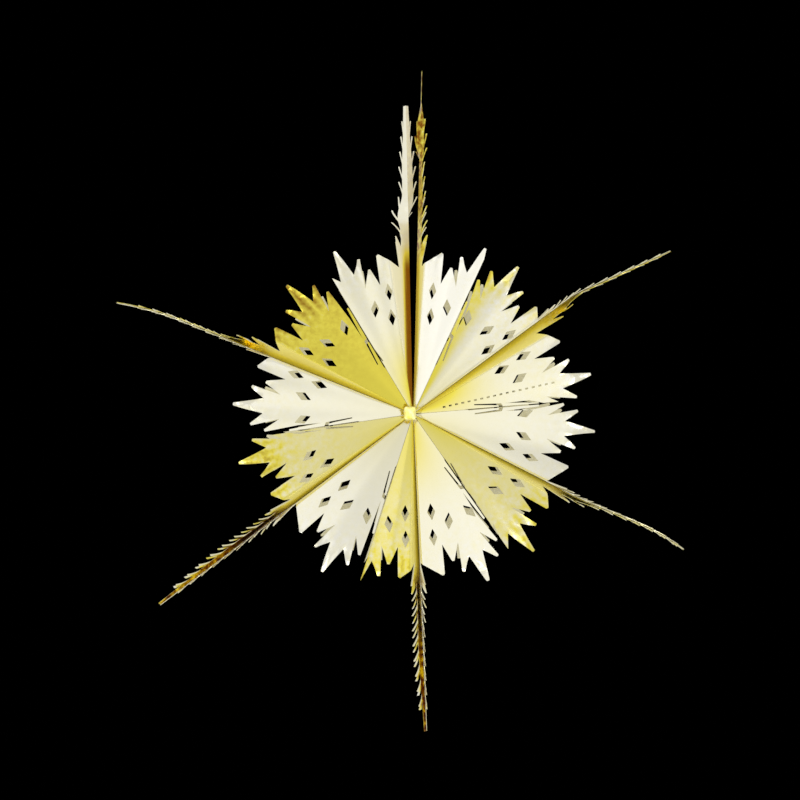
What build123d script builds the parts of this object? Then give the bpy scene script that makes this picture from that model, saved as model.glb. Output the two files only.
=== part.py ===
"""Foil hanging star: twelve die-cut foil leaves folded round a common hub.

Every leaf is cut from the same flat blank: a long barbed spear with a toothed,
pierced petal on each side of it.  It is folded along the middle of the spear,
and each half is folded once more beside the spear, so that the spear stands
edge-on to the front and the petal turns to face it.  Two leaves lie back to
back along each spear, and neighbours meet in a short glued margin on the
ridge between two spears, on the front and on the back.  Where two spears stand
close, one of the two petals is cut off at the ridge.  The spears' plain ends
differ a little in length.  The star is open at the upper spear, where its first
and last leaves lie side by side.  A small patch of foil covers the hub on the
front.

The star hangs in the XZ plane with Z up, and its front faces -Y.  It is laid
out round the hub and then set with the origin in the tab that it hangs by.
Lengths are in millimetres and angles in degrees.
"""

import os
from math import acos, atan2, cos, degrees, radians, sin, tan

from build123d import *

# Foil and joints between leaves
film = 0.25             # thickness of the foil card
glue_gap = 0.16         # room left for the glue between two leaves
hub_radius = 0.4        # the leaves stop this far from the axis
glue_width = 2.5        # margin bent forward on each ridge
glue_end = 35.0         # the margin runs out to this distance from the hub

# Patch of foil over the hub, on the front
patch_width = 7.6
patch_height = 8.6
patch_shift = (-2.0, 0.5)   # its middle, from the hub in X and Z

# Angles of the flat blank, from the middle of the spear
petal_angle = 30.3      # middle of the petal
blank_angle = 38.5      # outer edge of the blank, unless the ridge lies further out

# Spear
spear_length = 200.0    # hub to tip
tip_bar = 10.0          # plain end of the spear
tip_half_width = 2.0
barb_count = 9
barb_gap = 1.0          # between one barb and the next
barb_foot = 2.2         # length on which a barb joins the spear's body
barb_sink = 0.5         # how far a barb reaches into the body
spear_lap = 0.5         # how far the outer spear reaches into the flat part
barb_reach = 4.0        # half width at the outermost barb
barb_growth = 0.13      # half width gained per millimetre towards the hub
body_share = 0.56       # body half width against the barbs' half width
spear_root = (91.0, 10.1)   # notch between the last barb and the petal
parting_angle = 45.0    # a line at this angle from the notch parts spear and petal
spear_neck = 14.4       # plain length between that notch and the last barb
hang_tab = 16.0         # extra plain length of the spear that the star hangs by
hang_inset = 4.0        # hanging point, in from the end of that tab

# Petal teeth and notches: distance along the petal's middle and to its side
middle_tooth = (113.0, 0.0)
middle_notch = (94.8, 4.6)
second_tooth = (102.0, 11.6)
second_notch = (84.2, 7.3)
third_tooth = (93.4, 14.9)
third_notch = (81.2, 17.3)
spear_tooth = (98.6, 24.2)
tooth_tip_width = 1.5

# Fingers on the ridge side: distance from the hub at tip and at slot
fingers = [(73.6, 58.5), (54.0, 39.0)]
finger_width = 2.2
finger_slot = 1.3
finger_clear = 0.5      # fingers stay this far inside the ridge line

# Diamond holes: distance along the petal's middle, to its side, and bearing
hole_length = 10.8
hole_width = 5.5
hole_clear = 1.0        # a hole that comes nearer to the ridge is left out
holes = [
    (70.2, 7.1, 54.3),
    (70.2, -7.3, 6.3),
    (60.2, -15.3, 12.0),
    (75.0, -20.8, 12.0),
]

# Outer spears, beyond the barb next to the petal.  Start and end are shares of
# the way from there to the spear's tip.
# Sweeps in the XZ plane: start, end, change of bearing
straight = []
upper_left_sweep = [(0.44, 1.0, 11.0)]
lower_right_sweep = [(0.0, 0.19, 5.0), (0.42, 1.0, -16.0)]
upper_right_sweep = [(0.10, 0.24, -12.0)]
# Tilts about the spear's own line: start, end, lean and turn that are reached
steady = []
closing = [(0.0, 0.24, 88.0, 0.0)]
turning_flat = [(0.0, 0.33, 38.0, -91.0), (0.33, 0.55, 48.0, -91.0)]
turning_late = [(0.0, 0.24, 68.0, 0.0), (0.5, 0.7, 88.0, -48.0), (0.8, 0.98, 88.0, 0.0)]

# How the star stands open: one row per leaf, in order round the hub.
# Bearing of the spear in the XZ plane, side that the leaf lies on, flat angle
# of the fold beside the spear, lean of the spear from the XZ plane, tilt, sweep,
# and length added to the plain end of the spear
leaves = [
    (91.3, 1, 12.0, 52.0, turning_flat, straight, -5.0),
    (158.0, -1, 12.0, 62.0, closing, upper_left_sweep, 0.0),
    (158.0, 1, 12.0, 88.0, steady, upper_left_sweep, 0.0),
    (217.0, -1, 12.0, 73.0, steady, straight, 0.0),
    (217.0, 1, 7.0, 88.0, steady, straight, 0.0),
    (272.4, -1, 12.0, 74.0, steady, straight, 0.0),
    (272.4, 1, 8.0, 88.0, steady, straight, 0.0),
    (333.0, -1, 12.0, 73.0, closing, lower_right_sweep, -9.0),
    (333.0, 1, 8.0, 88.0, steady, lower_right_sweep, -9.0),
    (396.5, -1, 12.0, 62.0, closing, upper_right_sweep, -7.0),
    (396.5, 1, 12.0, 88.0, steady, upper_right_sweep, -7.0),
    (448.6, -1, 9.0, 74.0, turning_late, straight, hang_tab),
]
# Ridges between neighbours: bearing in the XZ plane and rise towards the front
ridges = [(121.0, 18.0), (188.0, 18.0), (252.0, 17.0), (305.0, 17.0), (365.0, 17.0), (425.6, 19.0)]

# Barbs share out the spear between its plain end and its neck
barb_pitch = (spear_length - tip_bar - spear_neck - spear_root[0]) / barb_count
barb_length = barb_pitch - barb_gap

front = Vector(0, -1, 0)
reach = 2 * spear_length


def turned(angle):
    """Unit vector in the flat blank, or in the XZ plane of the star."""
    return cos(radians(angle)), sin(radians(angle))


def bearing(angle):
    """Direction in the XZ plane, counted from +X towards +Z."""
    x, z = turned(angle)
    return Vector(x, 0, z)


def across(angle, side, lean):
    """Direction across a spear of that bearing and lean."""
    return bearing(angle + 90) * side * cos(radians(lean)) + front * sin(radians(lean))


def on_petal(point):
    """Blank coordinates of a point given along and beside the petal."""
    along, beside = point
    x, y = turned(petal_angle)
    return along * x - beside * y, along * y + beside * x


def on_edge(edge, distance, inset):
    """Blank coordinates of a point near the outer edge, inset from it."""
    x, y = turned(edge)
    return distance * x + inset * y, distance * y - inset * x


def blade(root_a, tip, root_b):
    """The two corners of a blunt tooth tip that stands on two roots."""
    back = Vector(*tip) - (Vector(*root_a) + Vector(*root_b)) / 2
    sideways = Vector(-back.Y, back.X).normalized() * (tooth_tip_width / 2)
    corners = [Vector(*tip) + sideways, Vector(*tip) - sideways]
    corners.sort(key=lambda corner: (corner - Vector(*root_a)).length)
    return [(corner.X, corner.Y) for corner in corners]


def barb_tip(number):
    """Distance from the hub of a barb's tip, counted from the outermost."""
    return spear_length - tip_bar - barb_length / 2 - number * barb_pitch


def half_width(along):
    """Half width of the spear, measured to the barb tips."""
    return barb_reach + barb_growth * (barb_tip(0) - along)


def body_width(along):
    """Half width of the spear's body between its barbs."""
    return body_share * half_width(along)


# The spear is one flat piece up to the barb next to the petal
flat_end = barb_tip(barb_count - 1) + barb_gap / 2
outer_length = spear_length - flat_end


def petal_edge(edge):
    """Toothed edge of the petal, from the spear to the outer edge."""
    teeth = [(spear_tooth, -1), (third_tooth, -1), (second_tooth, -1),
             (middle_tooth, 1), (second_tooth, 1), (third_tooth, 1)]
    notches = [(third_notch, -1), (second_notch, -1), (middle_notch, -1),
               (middle_notch, 1), (second_notch, 1)]
    tips = [on_petal((along, side * beside)) for (along, beside), side in teeth]
    roots = [spear_root] + [on_petal((a, side * b)) for (a, b), side in notches]
    roots.append(on_edge(edge, fingers[0][0], finger_clear + finger_width + finger_slot))
    points = [spear_root]
    for tip, root_a, root_b in zip(tips, roots, roots[1:]):
        points += blade(root_a, tip, root_b)
        points.append(root_b)
    return points


def finger_edge(edge):
    """Slender fingers along the outer edge, then the glued edge to the hub."""
    points = []
    for tip, slot in fingers:
        points.append(on_edge(edge, slot, finger_clear + finger_width + finger_slot))
        points.append(on_edge(edge, slot, finger_clear + finger_width))
        points.append(on_edge(edge, tip, finger_clear + tooth_tip_width))
        points.append(on_edge(edge, tip, finger_clear))
        if (tip, slot) != fingers[-1]:
            points.append(on_edge(edge, slot - finger_width, finger_clear + finger_width))
    points.append(on_edge(edge, glue_end, finger_clear))
    points.append(on_edge(edge, glue_end, 0))
    points.append(on_edge(edge, hub_radius, 0))
    return points


def strip(start, end, low, high):
    """Rectangle of the blank, used to pick out one part of it."""
    return Pos((start + end) / 2, (low + high) / 2) * Rectangle(end - start, high - low)


def half_blank(ridge_angle):
    """Flat half of a leaf as far as the last barb, with its holes."""
    edge = max(ridge_angle, blank_angle)
    last = barb_count - 1
    slot = barb_tip(last) - barb_length + barb_foot
    outline = [(hub_radius, 0), (flat_end, 0), (flat_end, body_width(flat_end)),
               (slot, body_width(slot)), (barb_tip(last), half_width(barb_tip(last)))]
    outline += petal_edge(edge) + finger_edge(edge)
    half = make_face(Polyline(*outline, close=True))
    for along, beside, turn in holes:
        x, y = on_petal((along, beside))
        corners = [(hole_length / 2, 0), (0, hole_width / 2),
                   (-hole_length / 2, 0), (0, -hole_width / 2)]
        lean_in = radians(turn - ridge_angle)
        half_span = max(abs(sin(lean_in)) * hole_length, abs(cos(lean_in)) * hole_width) / 2
        to_ridge = sin(radians(ridge_angle) - atan2(y, x)) * (x * x + y * y) ** 0.5
        if to_ridge > half_span + hole_clear:
            diamond = make_face(Polyline(*corners, close=True))
            half -= Pos(x, y) * Rot(0, 0, turn) * diamond
    if ridge_angle < edge:
        half -= Rot(0, 0, ridge_angle) * strip(-reach, reach, 0, reach)
    return half


def facets(sheet, fold_angle):
    """Spear strip and petal of one half, each a little past its fold."""
    beyond_fold = Rot(0, 0, fold_angle) * strip(-reach, reach, film, reach)
    before_fold = Rot(0, 0, fold_angle) * strip(-reach, reach, -reach, -film)
    past_notch = Pos(*spear_root) * Rot(0, 0, parting_angle) * strip(0, reach, -reach, 0)
    return sheet - (beyond_fold - past_notch), sheet - before_fold - past_notch


def fold_direction(leaf):
    """Direction of the fold beside the spear."""
    angle, side, fold_angle, lean = leaf[:4]
    along, beside = turned(fold_angle)
    return bearing(angle) * along + across(angle, side, lean) * beside


def ridge_direction(ridge):
    """Direction in which two neighbours meet on the front."""
    angle, rise = ridge
    return bearing(angle) * cos(radians(rise)) + front * sin(radians(rise))


def clear_of(leaf, ridge):
    """Place of a leaf's apex that keeps it clear of both its neighbours."""
    angle, side, fold_angle, lean = leaf[:4]
    from_spear = bearing(angle + 90) * side
    level = Vector(ridge.X, 0, ridge.Z).normalized()
    from_ridge = Vector(level.Z, 0, -level.X) * side
    at_spear = film / 2 / sin(radians(lean)) + glue_gap / 2
    at_ridge = film / 2 + glue_gap / 2
    turn = from_spear.X * from_ridge.Z - from_spear.Z * from_ridge.X
    x = (at_spear * from_ridge.Z - at_ridge * from_spear.Z) / turn
    z = (at_ridge * from_spear.X - at_spear * from_ridge.X) / turn
    return Vector(x, 0, z)


def spine(leaf, distance):
    """Place and bearing of a swept spear's middle line, that far from the hub."""
    heading = leaf[0]
    place = Vector(0, 0, 0)
    done = 0.0
    for start, end, change in leaf[5]:
        begin = min(distance, flat_end + start * outer_length)
        place += bearing(heading) * (begin - done)
        done = min(distance, flat_end + end * outer_length)
        part = change * (done - begin) / ((end - start) * outer_length)
        half = radians(part / 2)
        chord = (done - begin) * (sin(half) / half if half else 1)
        place += bearing(heading + part / 2) * chord
        heading += part
    return place + bearing(heading) * (distance - done), heading


def tilt_at(leaf, along):
    """Lean and turn of the spear at a distance along it."""
    lean, turn = leaf[3], 0.0
    for start, end, next_lean, next_turn in leaf[4]:
        share = ((along - flat_end) / outer_length - start) / (end - start)
        share = min(max(share, 0), 1)
        lean += (next_lean - lean) * share
        turn += (next_turn - turn) * share
    return lean, turn


def spear_frame(leaf, apex, along, half):
    """Place on the spear's line, its direction there, and the way across."""
    angle, side = leaf[0], leaf[1]
    beside = apex.dot(bearing(angle + 90))
    place, heading = spine(leaf, along + apex.dot(bearing(angle)))
    lean, turn = tilt_at(leaf, along)
    place = place + bearing(heading + 90) * beside
    return place, bearing(heading), across(heading, side, half * lean + turn)


def plate(face, origin, along, sideways):
    """Flat piece of foil laid in the plane of two directions."""
    plane = Plane(origin=origin, x_dir=along, z_dir=along.cross(sideways))
    return extrude(plane * face, amount=film / 2, both=True)


def kept(piece, origin, normal):
    """The part of a piece on the side that the normal points to."""
    return split(piece, Plane(origin=origin, z_dir=normal), keep=Keep.TOP)


def spear_section(leaf, apex, along, half, width):
    """Cut through the spear's body, from its middle line to one edge."""
    place, direction, sideways = spear_frame(leaf, apex, along, half)
    thick = direction.cross(sideways) * (film / 2)
    inner = place - sideways * (film / 2)
    outer = place + sideways * width
    return make_face(Polyline(inner - thick, outer - thick, outer + thick, inner + thick, close=True))


def outer_spear(leaf, apex, half):
    """Half of the spear beyond the flat part, with its own tilt and sweep."""
    step = 1 if len(leaf[4]) > 1 else 2
    stops = [flat_end - spear_lap, flat_end]
    stops += [barb_tip(number) + barb_gap / 2 for number in range(barb_count - 1 - step, -1, -step)]
    cuts = [spear_section(leaf, apex, stop, half, body_width(stop)) for stop in stops]
    stops.append(spear_length + leaf[6])
    cuts.append(spear_section(leaf, apex, stops[-1], half, tip_half_width))
    pieces = [loft(pair, ruled=True) for pair in zip(cuts, cuts[1:])]
    for number in range(barb_count - 1):
        tip = barb_tip(number)
        slot = tip - barb_length + barb_foot
        root = tip - barb_length
        middle = (slot + root) / 2
        outline = [(root, body_width(root) - barb_sink), (slot, body_width(slot) - barb_sink),
                   (slot, body_width(slot)), (tip, half_width(tip)), (root, body_width(root))]
        barb = Pos(-middle, 0) * make_face(Polyline(*outline, close=True))
        begin = max(stop for stop in stops if stop <= middle)
        end = min(stop for stop in stops if stop > middle)
        share = (end - middle) / (end - begin)
        near = spear_frame(leaf, apex, begin, half)
        far = spear_frame(leaf, apex, end, half)
        pieces.append(plate(barb, *[a * share + b * (1 - share) for a, b in zip(near, far)]))
    return pieces


def folded_leaf(leaf, ridge):
    """One leaf, folded and set in its place round the hub."""
    angle, side, fold_angle, lean = leaf[:4]
    apex = clear_of(leaf, ridge)
    fold = fold_direction(leaf)
    spread = acos(fold.dot(ridge))
    spear_face, petal_face = facets(half_blank(fold_angle + degrees(spread)), fold_angle)
    onward = (ridge - fold * cos(spread)) * (1 / sin(spread))
    along, beside = turned(fold_angle)
    petal = plate(petal_face, apex, fold * along - onward * beside, fold * beside + onward * along)
    spear = plate(spear_face, apex, bearing(angle), across(angle, side, lean))
    outward = across(angle, side, lean) * along - bearing(angle) * beside
    spear = kept(kept(spear, apex, outward * -1 - onward), Vector(0, 0, 0), front)
    petal = kept(petal, apex, outward + onward)
    upright = (front - ridge * front.dot(ridge)).normalized()
    margin = strip(hub_radius + glue_width, glue_end, -film / 2, glue_width)
    half = spear + petal + plate(margin, apex, ridge, upright)
    inner = half + mirror(half, about=Plane.XZ)
    return inner.fuse(*outer_spear(leaf, apex, 1), *outer_spear(leaf, apex, -1)).clean()


def hub_patch():
    """Flat patch that lies on the glued margins round the hub."""
    reach_x = abs(patch_shift[0]) + patch_width / 2
    reach_z = abs(patch_shift[1]) + patch_height / 2
    level = max(reach_x, reach_z)
    tops = [level * tan(radians(rise)) + glue_width / cos(radians(rise)) for turn, rise in ridges]
    lift = max(tops) + glue_gap + film / 2
    return Pos(patch_shift[0], -lift, patch_shift[1]) * Box(patch_width, film, patch_height)


os.makedirs("parts", exist_ok=True)
hanging_point = bearing(leaves[-1][0]) * (spear_length + leaves[-1][6] - hang_inset)
pieces = {"hub_patch": hub_patch()}
for number, leaf in enumerate(leaves):
    pieces[f"leaf_{number + 1:02d}"] = folded_leaf(leaf, ridge_direction(ridges[number // 2]))
for name, piece in pieces.items():
    solid = Pos(hanging_point * -1) * piece
    solid.label = name
    export_step(solid, f"parts/{name}.step")
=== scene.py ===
import math
import bpy
import numpy as np
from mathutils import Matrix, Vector
from mathutils.geometry import delaunay_2d_cdt


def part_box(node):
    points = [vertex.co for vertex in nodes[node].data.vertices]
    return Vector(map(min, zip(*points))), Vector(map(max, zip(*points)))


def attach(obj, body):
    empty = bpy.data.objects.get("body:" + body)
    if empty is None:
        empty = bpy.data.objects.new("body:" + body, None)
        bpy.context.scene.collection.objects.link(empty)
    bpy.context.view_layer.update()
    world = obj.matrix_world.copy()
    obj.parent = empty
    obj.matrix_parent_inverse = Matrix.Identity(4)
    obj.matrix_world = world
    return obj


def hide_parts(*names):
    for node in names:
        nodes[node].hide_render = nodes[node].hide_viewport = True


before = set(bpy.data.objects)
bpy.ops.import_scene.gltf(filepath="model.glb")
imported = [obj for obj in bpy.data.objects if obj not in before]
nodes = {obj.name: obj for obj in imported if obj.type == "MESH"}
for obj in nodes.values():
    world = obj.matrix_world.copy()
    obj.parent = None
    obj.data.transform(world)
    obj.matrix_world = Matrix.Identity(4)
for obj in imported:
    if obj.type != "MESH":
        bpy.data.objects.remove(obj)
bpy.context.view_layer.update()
mm = 0.001  # the sheets are drawn in mm, the scene is in metres
print("loaded", len(nodes), "pieces")

# flat leaf, one half of it: x runs along the spear, y towards the petal, in mm; teeth and notches as
# places along and beside the petal's middle line, fingers as tip and end of the slot, both measured
# from the hub, holes as place along and beside that middle line and turn
sheetCut = {
    "film": 0.25, "glueGap": 0.16, "hubRadius": 0.4, "glueWidth": 2.5, "glueEnd": 35.0,
    "petalAngle": 30.3, "blankAngle": 38.5, "partingAngle": 45.0,
    "spearLength": 200.0, "tipBar": 10.0, "tipHalfWidth": 2.0, "hangInset": 4.0,
    "barbCount": 9, "barbPitch": 9.4, "barbGap": 1.0, "barbFoot": 2.2, "barbTip": 0.9,
    "barbReach": 4.0, "barbGrowth": 0.13, "bodyShare": 0.56, "spearRoot": (91.0, 10.1), "flatEnd": 111.1,
    "teeth": [(98.6, -24.2), (93.4, -14.9), (102.0, -11.6), (113.0, 0.0), (102.0, 11.6), (93.4, 14.9)],
    "notches": [(81.2, -17.3), (84.2, -7.3), (94.8, -4.6), (94.8, 4.6), (84.2, 7.3)],
    "toothTip": 1.5, "lastNotch": 73.6, "fingers": [(79.5, 58.5), (54.6, 39.0)], "fingerTip": 1.1,
    "fingerWidth": 2.2, "fingerSlot": 0.7, "fingerClear": 0.35, "heel": 1.0,
    "holeLength": 10.8, "holeWidth": 5.5, "holeClear": 1.0, "holeRound": 0.4,
    "holes": [(70.2, 7.1, 54.3), (70.2, -7.3, 6.3), (60.2, -15.3, 12.0), (75.0, -20.8, 12.0)],
    "dotFirst": 20.0, "dotPitch": 4.1, "dotLength": 1.9, "dotWidth": 1.1, "dotRound": 0.2,
    "cornerRound": 0.45, "cornerPoints": 4, "cornerShare": 0.4, "glueSlant": 0.6, "glueCorner": 1.0,
    "edgeStep": 2.0,
}

# points inside the flat sheet: distances from the hub in mm, and rows in degrees as start, end and
# step, on the strip up to the fold, over the fold, and from there to the ridge
sheetGrid = {
    "first": 6.0, "step": 3.4, "clear": 0.8,
    "stripRows": (0.7, -1.6, 1.4), "foldRows": (-1.2, 1.5, 0.4), "petalRows": (2.2, -0.4, 1.6),
}

# outer spears: start and end as shares of the way from the flat part to the tip
sweeps = {  # start, end, change of bearing
    "straight": [], "upperLeft": [(0.44, 1.0, 11.0)],
    "lowerRight": [(0.0, 0.19, 5.0), (0.42, 1.0, -16.0)], "upperRight": [(0.10, 0.24, -12.0)],
}
tilts = {  # start, end, lean and turn that are reached
    "steady": [], "closing": [(0.0, 0.24, 88.0, 0.0)], "opening": [(0.0, 0.6, 56.0, 0.0)],
    "turningFlat": [(0.0, 0.33, 38.0, -91.0), (0.33, 0.55, 48.0, -91.0)],
    "turningLate": [(0.0, 0.24, 68.0, 0.0), (0.5, 0.7, 88.0, -48.0), (0.8, 0.98, 88.0, 0.0)],
}

# how each leaf stands: bearing of its spear, side it lies on, fold beside the spear, lean of
# the spear strip, ridge shared with its neighbour as bearing and rise, length added at the tip,
# how far its barbs stand off the spear near the root and near the tip, and the painted glint on their
# points, then the tone of its petal, strip, strip beside the crease and outer spear (0 pale, 1 deep,
# 2 brown), all of it painted light: the petal pale where it faces the light and deep gold where it lies
# recessed, the strip a painted reflection, the strip beside the crease painted shade and the outer
# spear a painted reflection, with painted shade added near the hub, a painted reflection along the
# ridge and painted reflections in streaks on the teeth, how strong its mottle and painted glints are,
# and the holes of a perforated line on it
leafSet = {
    "leaf_01": {"bearing": 91.3, "side": 1, "fold": 12.0, "lean": 52.0, "ridge": (121.0, 18.0),
                "tilt": "turningFlat", "sweep": "straight", "added": -5.0, "barbs": (0.0, 0.0, 0.1),
                "tone": (0.18, 0.25, 2.0, 0.1, 1.0, 0.0, -0.1), "lively": 0.09, "dots": 0},
    "leaf_02": {"bearing": 158.0, "side": -1, "fold": 12.0, "lean": 62.0, "ridge": (121.0, 18.0),
                "tilt": "closing", "sweep": "upperLeft", "added": 0.0, "barbs": (0.5, 0.8, 0.7),
                "tone": (1.1, 0.8, 1.1, 1.0, -0.1, 0.0, 0.75), "lively": 0.25, "dots": 0},
    "leaf_03": {"bearing": 158.0, "side": 1, "fold": 12.0, "lean": 88.0, "ridge": (188.0, 18.0),
                "tilt": "steady", "sweep": "upperLeft", "added": 0.0, "barbs": (0.8, 0.5, 0.4),
                "tone": (0.14, 0.0, 0.0, 0.4, 0.1, 0.0, -0.1), "lively": 0.09, "dots": 0},
    "leaf_04": {"bearing": 217.0, "side": -1, "fold": 12.0, "lean": 73.0, "ridge": (188.0, 18.0),
                "tilt": "opening", "sweep": "straight", "added": 0.0, "barbs": (1.5, 2.0, 0.3),
                "tone": (0.6, 0.8, 1.15, 1.6, 0.3, 0.0, 0.6), "lively": 0.35, "dots": 0},
    "leaf_05": {"bearing": 217.0, "side": 1, "fold": 7.0, "lean": 88.0, "ridge": (252.0, 17.0),
                "tilt": "steady", "sweep": "straight", "added": 0.0, "barbs": (2.5, 0.8, 0.3),
                "tone": (0.12, 0.0, 0.0, 0.4, 0.3, 0.0, -0.1), "lively": 0.09, "dots": 0},
    "leaf_06": {"bearing": 272.4, "side": -1, "fold": 12.0, "lean": 74.0, "ridge": (252.0, 17.0),
                "tilt": "opening", "sweep": "straight", "added": 0.0, "barbs": (2.0, 2.0, 0.3),
                "tone": (0.7, 0.8, 1.15, 1.6, 0.3, 0.0, 0.6), "lively": 0.35, "dots": 0},
    "leaf_07": {"bearing": 272.4, "side": 1, "fold": 8.0, "lean": 88.0, "ridge": (305.0, 17.0),
                "tilt": "steady", "sweep": "straight", "added": 0.0, "barbs": (3.0, 0.8, 0.3),
                "tone": (0.16, 0.0, 0.0, 0.4, 0.85, 0.0, -0.1), "lively": 0.09, "dots": 0},
    "leaf_08": {"bearing": 333.0, "side": -1, "fold": 12.0, "lean": 73.0, "ridge": (305.0, 17.0),
                "tilt": "closing", "sweep": "lowerRight", "added": -9.0, "barbs": (0.8, 0.8, 0.5),
                "tone": (0.64, 0.75, 0.95, 0.7, 0.35, 0.0, 0.5), "lively": 0.3, "dots": 0},
    "leaf_09": {"bearing": 333.0, "side": 1, "fold": 8.0, "lean": 88.0, "ridge": (365.0, 17.0),
                "tilt": "steady", "sweep": "lowerRight", "added": -9.0, "barbs": (1.5, 0.2, 0.4),
                "tone": (0.14, 0.0, 0.0, 0.4, 0.35, 0.0, -0.1), "lively": 0.09, "dots": 0},
    "leaf_10": {"bearing": 396.5, "side": -1, "fold": 12.0, "lean": 62.0, "ridge": (365.0, 17.0),
                "tilt": "closing", "sweep": "upperRight", "added": -7.0, "barbs": (0.0, 0.5, 0.8),
                "tone": (0.2, 0.8, 1.1, 1.0, 1.25, 0.0, -0.1), "lively": 0.12, "dots": 18},
    "leaf_11": {"bearing": 396.5, "side": 1, "fold": 12.0, "lean": 88.0, "ridge": (425.6, 19.0),
                "tilt": "steady", "sweep": "upperRight", "added": -7.0, "barbs": (2.0, 0.8, 0.2),
                "tone": (0.2, 0.0, 0.0, 0.2, 0.25, 0.75, 0.5), "lively": 0.25, "dots": 0},
    "leaf_12": {"bearing": 448.6, "side": -1, "fold": 9.0, "lean": 74.0, "ridge": (425.6, 19.0),
                "tilt": "turningLate", "sweep": "straight", "added": 16.0, "barbs": (2.2, 0.3, 1.0),
                "tone": (0.0, 0.7, 1.35, 1.5, 0.1, 0.0, 0.0), "lively": 0.1, "dots": 0},
}

# what the sheet does between its folds
sheetForm = {
    "foldRound": 1.4, "roundStart": 0.05, "roundReach": 30.0,
    "bulge": 1.8, "bulgeReach": 100.0, "bulgePower": 1.5,
    "toothCurl": 0.9, "curlBand": (84.0, 112.0), "wave": 1.9, "splaySpan": 0.4, "splayPower": 1.5,
    "axisStep": 0.5, "axisSpare": 2.0, "ridgeNear": 1e-3, "creaseNear": 1e-6,
    "crispAngle": 40.0, "filmShare": 0.9, "front": np.array([0.0, -1.0, 0.0]),
}

# where the gold and its painted light change: distances from the hub and the crease in mm, shares of the
# petal's angle
goldAndPaintedLightSet = {
    "hubBand": (5.0, 68.0), "hubSide": 0.6, "ridgeBand": (0.6, 0.9), "toothReflectionBand": (82.0, 98.0),
    "creaseBand": (4.0, 8.0), "foldBlend": 1.0, "mottleAndGlintBands": [(20.0, 75.0), (70.0, 95.0)],
    "stripDull": 1.0, "spearGlint": 1.0, "spearShine": 2.5,
}


def unit(v):
    return v / np.linalg.norm(v)


def compass(degrees):  # direction in the upright plane, from +X towards +Z
    a = np.radians(degrees)
    return np.stack([np.cos(a), np.zeros_like(a), np.sin(a)], axis=-1)


def ramp(x, a, b):  # smooth step from 0 at a to 1 at b
    s = np.clip((x - a) / (b - a), 0.0, 1.0)
    return s * s * (3.0 - 2.0 * s)


def turnFlat(points, degrees):  # points of the flat sheet turned about the hub
    a = math.radians(degrees)
    return np.asarray(points, float) @ np.array([[math.cos(a), math.sin(a)], [-math.sin(a), math.cos(a)]])


def onEdge(edge, distance, inset):  # point near a line from the hub at that angle, inset from it
    return turnFlat([[distance, -inset]], edge)[0]


def barbPoints():  # where the points of the barbs lie along the spear, from the tip inwards
    c = sheetCut
    first = c["spearLength"] - c["tipBar"] - (c["barbPitch"] - c["barbGap"]) / 2
    return first - c["barbPitch"] * np.arange(c["barbCount"])


def barbShare(u, v):  # 0 on the body of the outer spear, 1 at the points of its barbs
    c = sheetCut
    points = barbPoints()
    reach = c["barbReach"] + c["barbGrowth"] * np.maximum(points[0] - u, 0.0)
    share = np.clip((v / reach - c["bodyShare"]) / (1.0 - c["bodyShare"]), 0.0, 1.0)
    started = ramp(u, points[-1] - 2 * c["barbPitch"], points[-1] - c["barbPitch"])
    return share * started * (u < points[0] + c["barbGap"])


def spearLine(length):  # slot, barb, slot, barb along the edge from the tip inwards
    c = sheetCut
    tip = barbPoints()
    barb = c["barbPitch"] - c["barbGap"]
    along = np.stack([tip - barb + c["barbFoot"], tip, tip, tip - barb], axis=1)
    half = c["barbReach"] + c["barbGrowth"] * (tip[0] - along)
    half[:, [0, 3]] *= c["bodyShare"]
    half[:, 1] -= c["barbTip"]
    line = np.stack([along, half], axis=2).reshape(-1, 2)[:-1]
    return np.vstack([[[length, 0.0], [length, c["tipHalfWidth"]]], line])


def toothLine(edge):  # blunt blades, each standing on the notch before and after it
    c = sheetCut
    tips = turnFlat(c["teeth"], c["petalAngle"])
    last = onEdge(edge, c["lastNotch"], c["fingerClear"] + c["fingerWidth"] + c["fingerSlot"])
    roots = np.vstack([[c["spearRoot"]], turnFlat(c["notches"], c["petalAngle"]), [last]])
    reach = tips - (roots[:-1] + roots[1:]) / 2
    across = np.stack([reach[:, 1], -reach[:, 0]], axis=1)
    across *= c["toothTip"] / 2 / np.linalg.norm(across, axis=1, keepdims=True)
    blades = np.stack([tips + across, tips - across, roots[1:]], axis=1)
    return np.vstack([roots[:1], blades.reshape(-1, 2)])


def fingerLine(edge):  # slim fingers on the ridge side, down to the glued margin
    c = sheetCut
    inner = c["fingerClear"] + c["fingerWidth"]
    line = []
    for tip, slot in c["fingers"]:
        line += [onEdge(edge, slot, inner + c["fingerSlot"]), onEdge(edge, slot, inner),
                 onEdge(edge, tip, c["fingerClear"] + c["fingerTip"]), onEdge(edge, tip, c["fingerClear"])]
        if slot != c["fingers"][-1][1]:
            root = slot - c["fingerWidth"]
            line += [onEdge(edge, root + c["heel"], c["fingerClear"]), onEdge(edge, root, inner)]
    slant = c["glueEnd"] + c["glueSlant"]
    line += [onEdge(edge, slant, c["fingerClear"]), onEdge(edge, c["glueEnd"], 0.0)]
    return np.array(line)


def softCorners(points, radius):
    # each corner p becomes the curve (1-s)^2 a + 2 s (1-s) p + s^2 b, with a and b on its two edges
    c = sheetCut
    ends = []
    for other in (np.roll(points, 1, axis=0), np.roll(points, -1, axis=0)):
        way = other - points
        size = np.linalg.norm(way, axis=1, keepdims=True)
        ends.append(points + way / size * np.minimum(radius, c["cornerShare"] * size))
    a, b = ends[0][:, None], ends[1][:, None]
    s = np.linspace(0.0, 1.0, c["cornerPoints"])[None, :, None]
    curve = (1 - s) ** 2 * a + 2 * s * (1 - s) * points[:, None] + s ** 2 * b
    return curve.reshape(-1, 2)


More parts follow.
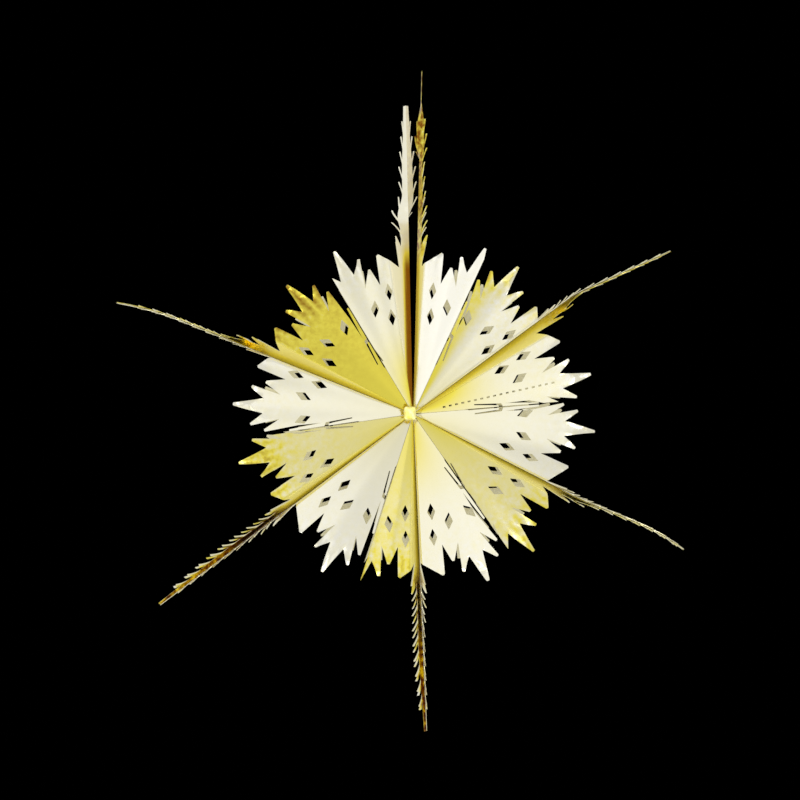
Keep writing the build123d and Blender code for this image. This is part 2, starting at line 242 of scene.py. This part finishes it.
def spaced(points, step):  # edges cut into equal lengths no longer than step, as an open line
    gap = np.diff(points, axis=0)
    count = np.maximum(1, np.ceil(np.linalg.norm(gap, axis=1) / step)).astype(int)
    which = np.repeat(np.arange(len(gap)), count)
    part = (np.arange(len(which)) - np.repeat(np.cumsum(count) - count, count)) / count[which]
    return np.vstack([points[which] + part[:, None] * gap[which], points[-1:]])


def closedLoop(points, step):
    return spaced(np.vstack([points, points[:1]]), step)[:-1]


def insideLoops(points, a, b):  # counts how many edges lie to the right of each point
    x, y = points[:, :1], points[:, 1:]
    spans = (a[:, 1] > y) != (b[:, 1] > y)
    rise = np.where(b[:, 1] == a[:, 1], 1e-12, b[:, 1] - a[:, 1])
    right = x < a[:, 0] + (y - a[:, 1]) * (b[:, 0] - a[:, 0]) / rise
    return (spans & right).sum(axis=1) % 2 == 1


def holeLoops(ridge, dots):  # diamonds that stay clear of the ridge, and the dots of the perforated line
    c = sheetCut
    diamond = np.array([[0.5, 0.0], [0.0, 0.5], [-0.5, 0.0], [0.0, -0.5]])
    diamond = softCorners(diamond * [c["holeLength"], c["holeWidth"]], c["holeRound"])
    dash = np.array([[0.5, 0.5], [-0.5, 0.5], [-0.5, -0.5], [0.5, -0.5]])
    dash = softCorners(dash * [c["dotLength"], c["dotWidth"]], c["dotRound"])
    loops = []
    for along, beside, turn in c["holes"]:
        loop = turnFlat(diamond, turn) + turnFlat([[along, beside]], c["petalAngle"])
        if turnFlat(loop, -ridge)[:, 1].max() < -c["holeClear"]:
            loops.append(closedLoop(loop, c["edgeStep"]))
    for along in c["dotFirst"] + c["dotPitch"] * np.arange(dots):
        loops.append(turnFlat(dash + [along, 0.0], c["petalAngle"]))
    return loops


def gridPoints(length, fold, ridge):  # rows of points from the hub, closest together over the fold
    g = sheetGrid
    first, last, step = g["stripRows"]
    onStrip = np.arange(first, fold + last, step)
    onFold = fold + np.arange(*g["foldRows"])
    first, last, step = g["petalRows"]
    onPetal = np.arange(fold + first, ridge + last, step)
    angles = np.radians(np.concatenate([onStrip, onFold, onPetal]))
    radii = np.arange(g["first"], length, g["step"])
    rows = np.stack([np.outer(radii, np.cos(angles)), np.outer(radii, np.sin(angles))], axis=2)
    return rows.reshape(-1, 2)


def ridgeFlap(ridge):  # glued margin that bends forward on the ridge
    c = sheetCut
    start, width = c["hubRadius"] + c["glueWidth"], c["glueWidth"]
    corners = [onEdge(ridge, c["glueEnd"], 0.0), onEdge(ridge, c["glueEnd"] - c["glueCorner"], -width),
               onEdge(ridge, start + width, -width), onEdge(ridge, start, 0.0)]
    return closedLoop(np.array(corners), c["edgeStep"])


def flatHalf(length, fold, ridge, dots):  # outline, holes and ridge filled with triangles
    c = sheetCut
    edge = max(ridge, c["blankAngle"])
    crease = spaced(np.array([[c["hubRadius"], 0.0], [length, 0.0]]), c["edgeStep"])
    sharp = np.vstack([spearLine(length), toothLine(edge), fingerLine(edge)[1:]])
    # the first two corners and the last one stay sharp
    soft = softCorners(sharp, c["cornerRound"])[2 * c["cornerPoints"]:-c["cornerPoints"]]
    free = np.vstack([[[length, 0.0]], sharp[1:2], soft, sharp[-1:], [onEdge(edge, c["hubRadius"], 0.0)]])
    loops = [np.vstack([crease[:-1], spaced(free, c["edgeStep"])])] + holeLoops(ridge, dots)
    points = np.vstack(loops)
    start = np.cumsum([0] + [len(loop) for loop in loops])
    after = np.arange(len(points)) + 1
    after[start[1:] - 1] = start[:-1]
    flap = ridgeFlap(ridge)
    lineEnd = length if ridge < edge else c["glueEnd"]  # a wider blank is trimmed along the whole ridge
    line = np.array([onEdge(ridge, c["hubRadius"], 0.0), onEdge(ridge, lineEnd, 0.0)])
    line = spaced(line, c["edgeStep"])
    grid = gridPoints(length, fold, ridge)
    grid = grid[insideLoops(grid, points, points[after])]
    near = np.sqrt(((grid[:, None] - points[None]) ** 2).sum(axis=2)).min(axis=1)
    cloud = np.vstack([points, flap, line, grid[near > sheetGrid["clear"]]])
    one, two = len(points), len(points) + len(flap)
    onFlap, onLine = np.arange(one, two), np.arange(two, two + len(line) - 1)
    edges = np.vstack([np.stack([np.arange(one), after], axis=1),
                       np.stack([onFlap, np.roll(onFlap, -1)], axis=1),
                       np.stack([onLine, onLine + 1], axis=1)])
    made = delaunay_2d_cdt([Vector(p) for p in cloud.tolist()], edges.tolist(), [], 0, 1e-4)
    verts = np.array([tuple(p) for p in made[0]])
    faces = np.array(made[2])
    middle = verts[faces].mean(axis=1)
    keep = insideLoops(middle, points, points[after]) & (turnFlat(middle, -ridge)[:, 1] < 0)
    keep |= insideLoops(middle, flap, np.roll(flap, -1, axis=0))
    return verts, faces[keep]


def crossLine(leaf, angle, tilt):  # direction across a spear of that bearing and tilt
    a = np.radians(tilt)[..., None]
    return leaf["side"] * compass(angle + 90) * np.cos(a) + sheetForm["front"] * np.sin(a)


def foldLine(leaf):  # direction of the fold beside the spear
    a, bearing = math.radians(leaf["fold"]), np.float64(leaf["bearing"])
    across = crossLine(leaf, bearing, np.float64(leaf["lean"]))
    return compass(bearing) * math.cos(a) + across * math.sin(a)


def ridgeLine(leaf):  # direction of the ridge, which rises towards the front
    bearing, rise = np.float64(leaf["ridge"][0]), math.radians(leaf["ridge"][1])
    return compass(bearing) * math.cos(rise) + sheetForm["front"] * math.sin(rise)


def apexOf(leaf, ridge):  # moved off the axis just enough to clear both neighbours
    c, side = sheetCut, leaf["side"]
    spear = compass(np.float64(leaf["bearing"] + 90)) * side
    level = unit(np.array([ridge[0], 0.0, ridge[2]]))
    beside = np.array([level[2], 0.0, -level[0]]) * side
    film, glue = c["film"] / 2, c["glueGap"] / 2
    room = np.array([film / math.sin(math.radians(leaf["lean"])) + glue, film + glue])
    x, z = np.linalg.solve(np.array([[spear[0], spear[2]], [beside[0], beside[2]]]), room)
    return np.array([x, 0.0, z])


def spearStrip(u, v, leaf, offset, half):
    # middle line with its sweeps, then v across it at the lean and turn reached there,
    # then the barbs aside by their splay
    c, f = sheetCut, sheetForm
    span = c["spearLength"] - c["flatEnd"]
    steps = np.arange(0.0, u.max() + f["axisSpare"], f["axisStep"])
    heading, headingHere = np.full_like(steps, leaf["bearing"]), np.full_like(u, leaf["bearing"])
    for start, end, change in sweeps[leaf["sweep"]]:
        first, last = c["flatEnd"] + start * span, c["flatEnd"] + end * span
        heading = heading + change * ramp(steps, first, last)
        headingHere = headingHere + change * ramp(u, first, last)
    way = np.cumsum(compass(heading) * f["axisStep"], axis=0) - compass(heading) * f["axisStep"]
    ahead = u + offset @ compass(np.float64(leaf["bearing"]))
    axis = np.stack([np.interp(ahead, steps, way[:, k]) for k in range(3)], axis=1)
    axis = axis + compass(headingHere + 90) * (offset @ compass(np.float64(leaf["bearing"] + 90)))
    lean, turn = np.full_like(u, leaf["lean"]), np.zeros_like(u)
    for start, end, nextLean, nextTurn in tilts[leaf["tilt"]]:
        part = ramp(u, c["flatEnd"] + start * span, c["flatEnd"] + end * span)
        lean, turn = lean + (nextLean - lean) * part, turn + (nextTurn - turn) * part
    rootSplay, tipSplay = leaf["barbs"][:2]
    along = ramp(u, c["flatEnd"], c["flatEnd"] + f["splaySpan"] * span)
    splay = (rootSplay + (tipSplay - rootSplay) * along) * barbShare(u, v) ** f["splayPower"]
    aside = leaf["side"] * compass(headingHere + 90)
    return axis + v[:, None] * crossLine(leaf, headingHere, half * lean + turn) + splay[:, None] * aside


def foldedHalf(flat, leaf, half):
    # spear strip: its middle line + v across it
    # petal: apex + p along the fold + q away from it, the two joined by a parabola at the fold,
    # and outwards by bulge * sin(pi * share)^2 * (far / reach)^power and the curl of the teeth
    # margin: apex + p along the ridge + m forward
    c, f = sheetCut, sheetForm
    u, v = flat[:, 0], flat[:, 1]
    fold, ridge = foldLine(leaf), ridgeLine(leaf)
    apex = apexOf(leaf, ridge)
    spread = math.acos(fold @ ridge)
    ridgeAngle = leaf["fold"] + math.degrees(spread)
    onward = (ridge - fold * math.cos(spread)) / math.sin(spread)
    cosFold, sinFold = math.cos(math.radians(leaf["fold"])), math.sin(math.radians(leaf["fold"]))
    p, q = u * cosFold + v * sinFold, v * cosFold - u * sinFold
    across = crossLine(leaf, np.float64(leaf["bearing"]), np.float64(leaf["lean"]))
    inward = across * cosFold - compass(np.float64(leaf["bearing"])) * sinFold
    w = f["foldRound"] * np.clip(p / f["roundReach"], f["roundStart"], 1.0)
    s = np.clip((q + w) / (2 * w), 0.0, 1.0)
    petal = (p[:, None] * fold + (-w * (1 - s) ** 2 + np.minimum(q + w, 0.0))[:, None] * inward
             + (w * s ** 2 + np.maximum(q - w, 0.0))[:, None] * onward)
    angle, far = np.degrees(np.arctan2(v, u)), np.hypot(u, v)
    share = np.clip((angle - leaf["fold"]) / (ridgeAngle - leaf["fold"]), 0.0, 1.0)
    out = unit(np.cross(fold, onward))
    out = out if out @ f["front"] > 0 else -out
    swell = f["bulge"] * np.sin(math.pi * share) ** 2 * (far / f["bulgeReach"]) ** f["bulgePower"]
    waves = np.sin(angle * f["wave"] + leaf["bearing"]) * np.sin(math.pi * share)
    curl = f["toothCurl"] * ramp(far, *f["curlBand"]) * waves
    petal = petal + (swell + curl)[:, None] * out
    # margin
    beyond = turnFlat(flat, -ridgeAngle)
    upright = unit(f["front"] - ridge * (f["front"] @ ridge))
    flap = beyond[:, :1] * ridge + beyond[:, 1:] * upright
    place = np.where(beyond[:, 1:] > f["ridgeNear"], flap, petal) + apex
    place = place * [1.0, half, 1.0]
    # spear, also everything past the notch beside it
    past = turnFlat(flat - np.array(c["spearRoot"]), -c["partingAngle"])
    isSpear = (q < -w) | ((past[:, 0] > 0) & (past[:, 1] < 0))
    return np.where(isSpear[:, None], spearStrip(u, v, leaf, apex, half), place)


def goldAndPaintedLightOf(flat, leaf, ridgeAngle):
    # tone, painted light throughout: the petal's (pale where lit, deep where recessed), with painted shade
    # near the hub, a painted reflection along the ridge and painted reflections in streaks on the teeth,
    # then the strip's below the fold as a painted reflection, deeper beside the crease as painted shade,
    # then the outer spear's as a painted reflection and its barbs' as painted glints
    # mottle and painted glints: grow with the distance from the hub, painted glints also on the outer
    # spear;
    # metal: less on the strip and on a pale spear
    g = goldAndPaintedLightSet
    petal, strip, crease, spear, hubMore, ridgeMore, toothReflectionMore = leaf["tone"]
    u, v = flat[:, 0], flat[:, 1]
    far, angle = np.hypot(u, v), np.degrees(np.arctan2(v, u))
    share = np.clip((angle - leaf["fold"]) / (ridgeAngle - leaf["fold"]), 0.0, 1.0)
    onStrip = 1.0 - ramp(angle, leaf["fold"] - g["foldBlend"], leaf["fold"] + g["foldBlend"])
    onSpear = onStrip * ramp(u, sheetCut["spearRoot"][0], sheetCut["flatEnd"])
    # painted shade near the hub, less of it towards the ridge
    tone = petal + hubMore * (1.0 - ramp(far, *g["hubBand"])) * (1.0 - g["hubSide"] * share)
    # painted reflection along the ridge
    tone = tone + ridgeMore * ramp(share, *g["ridgeBand"])
    # painted reflections in streaks on the teeth, darker on some leaves and whiter on others
    toothReflection = np.maximum(np.sin(angle * sheetForm["wave"] + leaf["bearing"]), 0.0)
    tone = tone + toothReflectionMore * ramp(far, *g["toothReflectionBand"]) * toothReflection
    # the strip a painted reflection, with painted shade beside the crease
    band = crease + (strip - crease) * ramp(v, *g["creaseBand"])
    tone = tone + (band - tone) * onStrip
    # the outer spear a painted reflection, the points of its barbs painted glints
    tone = tone + (spear - tone) * onSpear
    tone = tone + (leaf["barbs"][2] - tone) * onSpear * barbShare(u, v)
    # mottle with painted glints, stronger away from the hub, and painted glints on the outer spear
    rings = sum(ramp(far, *ring) for ring in g["mottleAndGlintBands"])
    mottleAndGlint = leaf["lively"] * rings * (1.0 - onStrip) + g["spearGlint"] * spear * onSpear
    metal = 1.0 - g["stripDull"] * (onStrip - onSpear * min(1.0, g["spearShine"] * spear))
    return {"tone": tone, "mottleAndGlint": mottleAndGlint, "metal": metal}


def foldedLeaf(name, leaf, hangPoint, foil, backing):
    length = sheetCut["spearLength"] + leaf["added"]
    ridgeAngle = leaf["fold"] + math.degrees(math.acos(foldLine(leaf) @ ridgeLine(leaf)))
    flat, tris = flatHalf(length, leaf["fold"], ridgeAngle, leaf["dots"])
    verts = np.vstack([foldedHalf(flat, leaf, 1.0), foldedHalf(flat, leaf, -1.0)])
    count = len(flat)
    onCrease = np.abs(flat[:, 1]) < sheetForm["creaseNear"]
    twin = np.where(onCrease, np.arange(count), np.arange(count) + count)
    one, two = (tris, twin[tris][:, ::-1]) if leaf["side"] > 0 else (tris[:, ::-1], twin[tris])
    faces = np.vstack([one, two])
    used, index = np.unique(faces, return_inverse=True)
    mesh = bpy.data.meshes.new(name + "Sheet")
    mesh.from_pydata((verts[used] - hangPoint) * mm, [], index.reshape(-1, 3))
    ends = np.empty(len(mesh.edges) * 2, int)
    mesh.edges.foreach_get("vertices", ends)
    onRidge = np.abs(turnFlat(flat, -ridgeAngle)[:, 1]) < sheetForm["ridgeNear"]
    kind = np.where(onCrease, 1, np.where(onRidge, 2, 0))
    kind = np.concatenate([kind, kind])[used][ends.reshape(-1, 2)]
    mesh.edges.foreach_set("use_edge_sharp", (kind[:, 0] == kind[:, 1]) & (kind[:, 0] > 0))
    mesh.polygons.foreach_set("use_smooth", np.ones(len(mesh.polygons), bool))
    for label, values in goldAndPaintedLightOf(flat, leaf, ridgeAngle).items():
        mesh.attributes.new(label, "FLOAT", "POINT").data.foreach_set("value", np.tile(values, 2)[used])
    mesh.materials.append(foil)
    mesh.materials.append(backing)
    piece = bpy.data.objects.new(name + "Foil", mesh)
    bpy.context.scene.collection.objects.link(piece)
    thick = piece.modifiers.new("thickness", "SOLIDIFY")
    thick.thickness, thick.offset = sheetForm["filmShare"] * sheetCut["film"] * mm, 0.0
    thick.material_offset = 1  # the side that faces the other half of the leaf
    crisp = piece.modifiers.new("crispEdges", "EDGE_SPLIT")
    crisp.split_angle = math.radians(sheetForm["crispAngle"])
    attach(piece, "root")
    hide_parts(name)
    return len(faces)


# small patch that closes the hub
patchSet = {"dome": 0.0004, "count": 15, "corner": 0.75, "cornerPower": 8,
            "tone": 0.7, "mottleAndGlint": 0.5, "metal": 0.35}


def hubPatch(name, patch, foil):
    # s and t run from -1 to 1 over the patch, pulled in at the corners to a rounded square,
    # and the middle stands forward by dome * (1 - s^2) * (1 - t^2)
    low, high = [np.array(corner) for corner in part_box(name)]
    mid, half = (low + high) / 2, (high - low) / 2
    s, t = np.meshgrid(np.linspace(-1.0, 1.0, patch["count"]), np.linspace(-1.0, 1.0, patch["count"]))
    pull = 1.0 - (1.0 - patch["corner"]) * (s * t) ** patch["cornerPower"]
    verts = np.stack([mid[0] + half[0] * s * pull, mid[1] - patch["dome"] * (1 - s ** 2) * (1 - t ** 2),
                      mid[2] + half[2] * t * pull], axis=2).reshape(-1, 3)
    cell = np.arange(patch["count"] ** 2).reshape(patch["count"], -1)
    quads = np.stack([cell[:-1, :-1], cell[:-1, 1:], cell[1:, 1:], cell[1:, :-1]], axis=2).reshape(-1, 4)
    mesh = bpy.data.meshes.new(name + "Sheet")
    mesh.from_pydata(verts, [], quads)
    mesh.polygons.foreach_set("use_smooth", np.ones(len(quads), bool))
    for label in ("tone", "mottleAndGlint", "metal"):
        values = np.full(len(verts), patch[label])
        mesh.attributes.new(label, "FLOAT", "POINT").data.foreach_set("value", values)
    mesh.materials.append(foil)
    piece = bpy.data.objects.new(name + "Foil", mesh)
    bpy.context.scene.collection.objects.link(piece)
    thick = piece.modifiers.new("thickness", "SOLIDIFY")
    thick.thickness, thick.offset = sheetForm["filmShare"] * sheetCut["film"] * mm, 0.0
    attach(piece, "root")
    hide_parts(name)


# gold of the outside and of the inside; the brown paints shade and dark reflections, the glint noise
# paints glints
foilSet = {
    "pale": (0.98, 0.955, 0.84, 1.0), "deep": (0.93, 0.80, 0.10, 1.0), "brown": (0.30, 0.115, 0.008, 1.0),
    "cloud": 14.0, "glint": 300.0, "glintMore": 2.2, "tintDetail": 2.0,
    "rough": 0.2, "roughSpread": 0.10, "grain": 240.0, "grainDetail": 3.0,
    "ripple": 26.0, "rippleDetail": 1.0, "bump": 0.12, "bumpDepth": 0.0006, "gloss": 0.0,
}
backSet = {
    "pale": (0.86, 0.82, 0.60, 1.0), "deep": (0.74, 0.68, 0.40, 1.0), "tone": 0.5, "mottleAndGlint": 0.8,
    "rough": 0.5, "metal": 0.45,
}


def newGroup(name, ins, out):  # shader group with named sockets
    group = bpy.data.node_groups.new(name, "ShaderNodeTree")
    for label, kind in ins:
        group.interface.new_socket(label, in_out="INPUT", socket_type="NodeSocket" + kind)
    for label, kind in out:
        group.interface.new_socket(label, in_out="OUTPUT", socket_type="NodeSocket" + kind)
    return group, group.nodes.new("NodeGroupInput"), group.nodes.new("NodeGroupOutput")


def sums(group, how, *values):  # one step of arithmetic, each value a socket or a number
    node = group.nodes.new("ShaderNodeMath")
    node.operation = how
    for place, value in zip(node.inputs, values):
        if isinstance(value, (int, float)):
            place.default_value = value
        else:
            group.links.new(value, place)
    return node.outputs[0]


def noise(group, vector, scale, detail):
    node = group.nodes.new("ShaderNodeTexNoise")
    node.inputs["Detail"].default_value = detail
    group.links.new(vector, node.inputs["Vector"])
    group.links.new(scale, node.inputs["Scale"])
    return node.outputs["Fac"]


def blend(group, share, first, second):  # the mix node holds the share between 0 and 1
    node = group.nodes.new("ShaderNodeMix")
    node.data_type = "RGBA"
    for place, value in ((0, share), (6, first), (7, second)):
        group.links.new(value, node.inputs[place])
    return node.outputs[2]


def foilTint():
    # pale to deep gold as the tone goes from 0 to 1, on to brown at 2, the tone placing painted light and
    # brown painted shade; the tone is moved by MottleAndGlint * (cloud - 0.5 + glintMore * (glint - 0.5)),
    # both of them noise, the cloud a random mottle and the glint painted glints
    wanted = [("Vector", "Vector"), ("Pale", "Color"), ("Deep", "Color"), ("Brown", "Color"),
              ("Tone", "Float"), ("MottleAndGlint", "Float"), ("Cloud", "Float"), ("Glint", "Float")]
    group, given, made = newGroup("foilTint", wanted, [("Color", "Color")])
    place, detail = given.outputs["Vector"], foilSet["tintDetail"]
    cloud = sums(group, "SUBTRACT", noise(group, place, given.outputs["Cloud"], detail), 0.5)
    # fine noise that paints glints
    glint = sums(group, "SUBTRACT", noise(group, place, given.outputs["Glint"], detail), 0.5)
    both = sums(group, "MULTIPLY_ADD", glint, foilSet["glintMore"], cloud)
    shift = sums(group, "MULTIPLY", both, given.outputs["MottleAndGlint"])
    tone = sums(group, "ADD", shift, given.outputs["Tone"])
    gold = blend(group, tone, given.outputs["Pale"], given.outputs["Deep"])
    past = sums(group, "SUBTRACT", tone, 1.0)
    group.links.new(blend(group, past, gold, given.outputs["Brown"]), made.inputs["Color"])
    return group


def foilGrain():  # shine of rough + spread * (fine noise - 0.5), and the long shallow ripples of thin card
    wanted = [("Vector", "Vector"), ("Rough", "Float"), ("Spread", "Float"), ("Grain", "Float"),
              ("Ripple", "Float")]
    group, given, made = newGroup("foilGrain", wanted, [("Roughness", "Float"), ("Height", "Float")])
    fine = noise(group, given.outputs["Vector"], given.outputs["Grain"], foilSet["grainDetail"])
    wide = noise(group, given.outputs["Vector"], given.outputs["Ripple"], foilSet["rippleDetail"])
    swing = sums(group, "MULTIPLY", sums(group, "SUBTRACT", fine, 0.5), given.outputs["Spread"])
    group.links.new(sums(group, "ADD", swing, given.outputs["Rough"]), made.inputs["Roughness"])
    group.links.new(wide, made.inputs["Height"])
    return group


def useGroup(tree, group, values):
    node = tree.nodes.new("ShaderNodeGroup")
    node.node_tree = group
    for label, value in values.items():
        node.inputs[label].default_value = value
    tree.links.new(tree.nodes["place"].outputs["Object"], node.inputs["Vector"])
    return node


def newMaterial(name):
    mat = bpy.data.materials.new(name)
    mat.use_nodes = True
    mat.node_tree.nodes.new("ShaderNodeTexCoord").name = "place"
    return mat, mat.node_tree, mat.node_tree.nodes["Principled BSDF"]


def foilShine(tree, bsdf, grain, rough):  # for both sides of the sheet
    f = foilSet
    shine = useGroup(tree, grain, {"Rough": rough, "Spread": f["roughSpread"], "Grain": f["grain"],
                                   "Ripple": f["ripple"]})
    tree.links.new(shine.outputs["Roughness"], bsdf.inputs["Roughness"])
    bump = tree.nodes.new("ShaderNodeBump")
    bump.inputs["Strength"].default_value = f["bump"]
    bump.inputs["Distance"].default_value = f["bumpDepth"]
    tree.links.new(shine.outputs["Height"], bump.inputs["Height"])
    tree.links.new(bump.outputs["Normal"], bsdf.inputs["Normal"])


def makeFoil(tint, grain):
    f = foilSet
    mat, tree, bsdf = newMaterial("goldFoil")
    bsdf.inputs["Specular IOR Level"].default_value = f["gloss"]  # the dull strips have no white gloss
    gold = useGroup(tree, tint, {"Pale": f["pale"], "Deep": f["deep"], "Brown": f["brown"],
                                 "Cloud": f["cloud"], "Glint": f["glint"]})
    # the tone and the mottle carry each leaf's painted light and painted glints
    wanted = {"tone": gold.inputs["Tone"], "mottleAndGlint": gold.inputs["MottleAndGlint"],
              "metal": bsdf.inputs["Metallic"]}
    for label, place in wanted.items():  # each leaf's own values
        own = tree.nodes.new("ShaderNodeAttribute")
        own.attribute_name = label
        tree.links.new(own.outputs["Fac"], place)
    tree.links.new(gold.outputs["Color"], bsdf.inputs["Base Color"])
    foilShine(tree, bsdf, grain, f["rough"])
    return mat


def makeBacking(tint, grain):  # duller inside of the sheet
    f, b = foilSet, backSet
    mat, tree, bsdf = newMaterial("foilBacking")
    bsdf.inputs["Metallic"].default_value = b["metal"]
    gold = useGroup(tree, tint, {"Pale": b["pale"], "Deep": b["deep"], "Brown": b["deep"],
                                 "Tone": b["tone"], "MottleAndGlint": b["mottleAndGlint"],
                                 "Cloud": f["cloud"], "Glint": f["glint"]})
    tree.links.new(gold.outputs["Color"], bsdf.inputs["Base Color"])
    foilShine(tree, bsdf, grain, b["rough"])
    return mat


tint, grain = foilTint(), foilGrain()
foil, backing = makeFoil(tint, grain), makeBacking(tint, grain)
last = leafSet["leaf_12"]
hangReach = sheetCut["spearLength"] + last["added"] - sheetCut["hangInset"]
hangPoint = compass(np.float64(last["bearing"])) * hangReach
tris = 0
for name, leaf in leafSet.items():
    tris += foldedLeaf(name, leaf, hangPoint, foil, backing)
print("folded", len(leafSet), "leaves of", tris, "triangles")
hubPatch("hub_patch", patchSet, foil)
print("closed the hub")

# camera, square on, with the photo's width of view at the hub
shot = {"distance": 0.6, "width": 0.508, "offset": (-0.0083, 0.0089), "sensor": 36.0}
hub = Vector((-hangPoint * mm).tolist())
camData = bpy.data.cameras.new("photoCamera")
camData.sensor_width = shot["sensor"]
camData.lens = shot["sensor"] * shot["distance"] / shot["width"]
cam = bpy.data.objects.new("photoCamera", camData)
cam.location = hub + Vector((shot["offset"][0], -shot["distance"], shot["offset"][1]))
cam.rotation_euler = (math.pi / 2, 0.0, 0.0)
bpy.context.scene.collection.objects.link(cam)
bpy.context.scene.camera = cam

# studio: pale floor well below the star, soft boxes, even sky
studio = {"floorDrop": 0.58, "floorSize": 1.1, "floorTone": 0.8, "floorRough": 0.9,
          "sky": 0.74, "behind": 0.0}
floorMesh = bpy.data.meshes.new("floorMesh")
h, z = studio["floorSize"] / 2, hub.z - studio["floorDrop"]
floorMesh.from_pydata([(-h, -h, z), (h, -h, z), (h, h, z), (-h, h, z)], [], [(0, 1, 2, 3)])
floor = bpy.data.objects.new("floor", floorMesh)
bpy.context.scene.collection.objects.link(floor)
paint = bpy.data.materials.new("paleFloor")
paint.use_nodes = True
paintNode = paint.node_tree.nodes["Principled BSDF"]
paintNode.inputs["Base Color"].default_value = (studio["floorTone"],) * 3 + (1.0,)
paintNode.inputs["Roughness"].default_value = studio["floorRough"]
floorMesh.materials.append(paint)

world = bpy.data.worlds.new("studioSky")
bpy.context.scene.world = world
world.use_nodes = True
tree = world.node_tree
tree.nodes["Background"].inputs["Color"].default_value = (studio["sky"],) * 3 + (1.0,)
path = tree.nodes.new("ShaderNodeLightPath")
seen = tree.nodes.new("ShaderNodeBackground")
seen.inputs["Color"].default_value = (studio["behind"],) * 3 + (1.0,)
mix = tree.nodes.new("ShaderNodeMixShader")
tree.links.new(path.outputs["Is Camera Ray"], mix.inputs["Fac"])
tree.links.new(tree.nodes["Background"].outputs["Background"], mix.inputs[1])
tree.links.new(seen.outputs["Background"], mix.inputs[2])
tree.links.new(mix.outputs["Shader"], tree.nodes["World Output"].inputs["Surface"])

lampSet = {  # places from the hub and sizes in metres; each adds its glow to the sky behind it
    "leftBox": {"at": (-0.60, -0.84, 0.02), "size": (0.66, 1.55), "glow": 0.22},
    "sideBox": {"at": (-0.98, -0.5, -0.09), "size": (0.45, 0.6), "glow": 0.3},
    "upperRightBox": {"at": (0.50, -0.90, 0.38), "size": (0.42, 0.42), "glow": 0.22},
    "rightBox": {"at": (0.84, -0.71, -0.07), "size": (0.42, 0.46), "glow": 0.22},
    "frontBox": {"at": (0.0, -1.1, 0.0), "size": (0.5, 0.5), "glow": 2.4},
    "lowBox": {"at": (0.31, -0.82, -0.67), "size": (0.44, 0.38), "glow": 0.22},
}
for name, lamp in lampSet.items():
    data = bpy.data.lights.new(name, "AREA")
    data.shape, data.size, data.size_y = "RECTANGLE", lamp["size"][0], lamp["size"][1]
    data.energy = lamp["glow"] * math.pi * lamp["size"][0] * lamp["size"][1]
    box = bpy.data.objects.new(name, data)
    box.location = hub + Vector(lamp["at"])
    box.visible_camera = False
    box.rotation_euler = (-Vector(lamp["at"])).to_track_quat("-Z", "Y").to_euler()
    bpy.context.scene.collection.objects.link(box)
print("lit by", len(lampSet), "soft boxes")

bpy.context.scene.view_settings.view_transform = "Standard"
print("ready")
